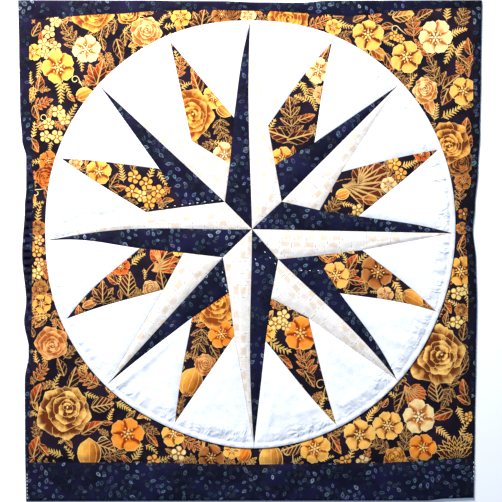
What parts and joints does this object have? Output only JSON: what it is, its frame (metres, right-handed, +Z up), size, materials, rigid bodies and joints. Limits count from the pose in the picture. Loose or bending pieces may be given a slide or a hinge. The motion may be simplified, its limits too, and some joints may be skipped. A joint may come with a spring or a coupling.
{
  "type": "star quilt",
  "caption": "Small patchwork quilt lying flat: a round panel pieced as a compass star on a flowered square, with a leaf-print strip along each side.",
  "frame": {"origin": "under the middle of the quilt, on its flat back, at the centre of the bounding box's bottom", "axes": "+Y towards the quilt's upper edge, +X to the right as the star is seen from above, +Z up out of its face"},
  "size_m": [0.619, 0.6688, 0.0073],
  "materials": {
    "leaf_print": "matt cotton, near-black navy with small grey-blue leaf outlines",
    "floral_print": "matt cotton, gold and orange flowers and russet leaves on near-black plum",
    "star_patches": "matt cotton, white wedges with navy, cream plaid and flowered points"
  },
  "bodies": {
    "root": {"floral_ground": "floral_print", "compass_panel": "star_patches", "border_top": "leaf_print", "border_bottom": "leaf_print", "border_left": "leaf_print", "border_right": "leaf_print"}
  },
  "joints": []
}
